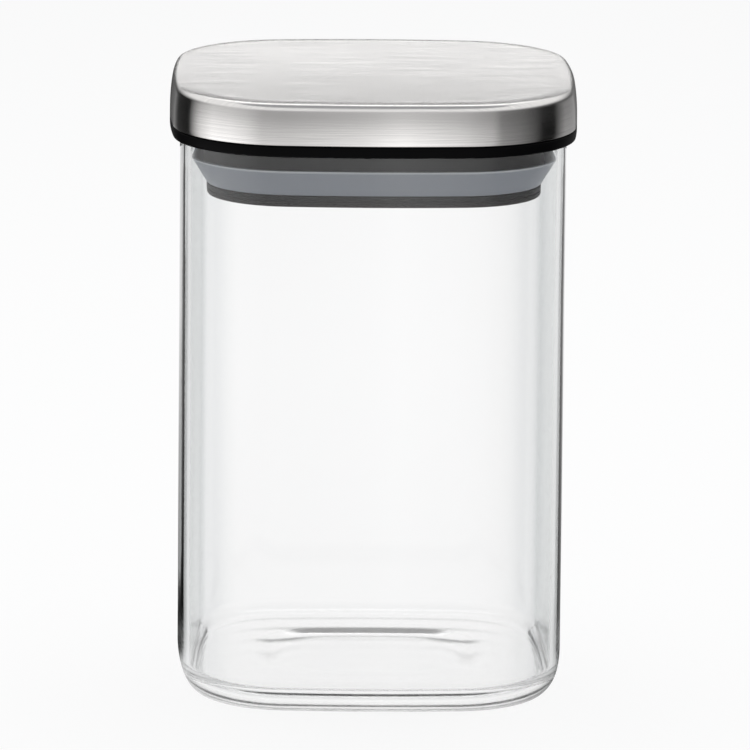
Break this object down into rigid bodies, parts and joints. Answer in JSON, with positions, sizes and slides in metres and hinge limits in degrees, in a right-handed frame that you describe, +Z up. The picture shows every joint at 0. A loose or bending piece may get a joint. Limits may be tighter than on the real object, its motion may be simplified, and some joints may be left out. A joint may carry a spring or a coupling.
{
  "type": "lidded glass canister",
  "caption": "Square-plan glass food canister with soft corners and a lift-off plug lid: steel cover, black base ring and flared silicone seal.",
  "frame": {"origin": "under the centre of the jar, on the surface it stands on", "axes": "+Z up through the lid; X and Y across the flat sides of the square plan"},
  "size_m": [0.1054, 0.1054, 0.16],
  "materials": {
    "jar_glass": "clear, fire-polished",
    "cover_steel": "fine straight brushing",
    "black_plastic": "satin moulded",
    "grey_silicone": "translucent satin",
    "cap_plastic": "satin moulded"
  },
  "bodies": {
    "jar": {"glass_jar": "jar_glass"},
    "lid": {"lid_base": "black_plastic", "lid_cover": "cover_steel", "silicone_gasket": "grey_silicone", "plug_cap": "cap_plastic"}
  },
  "joints": [
    {"name": "lid_lift", "type": "slide", "parent": "jar", "child": "lid", "axis": [0, 0, 1], "range_m": [0, 0.06]}
  ]
}
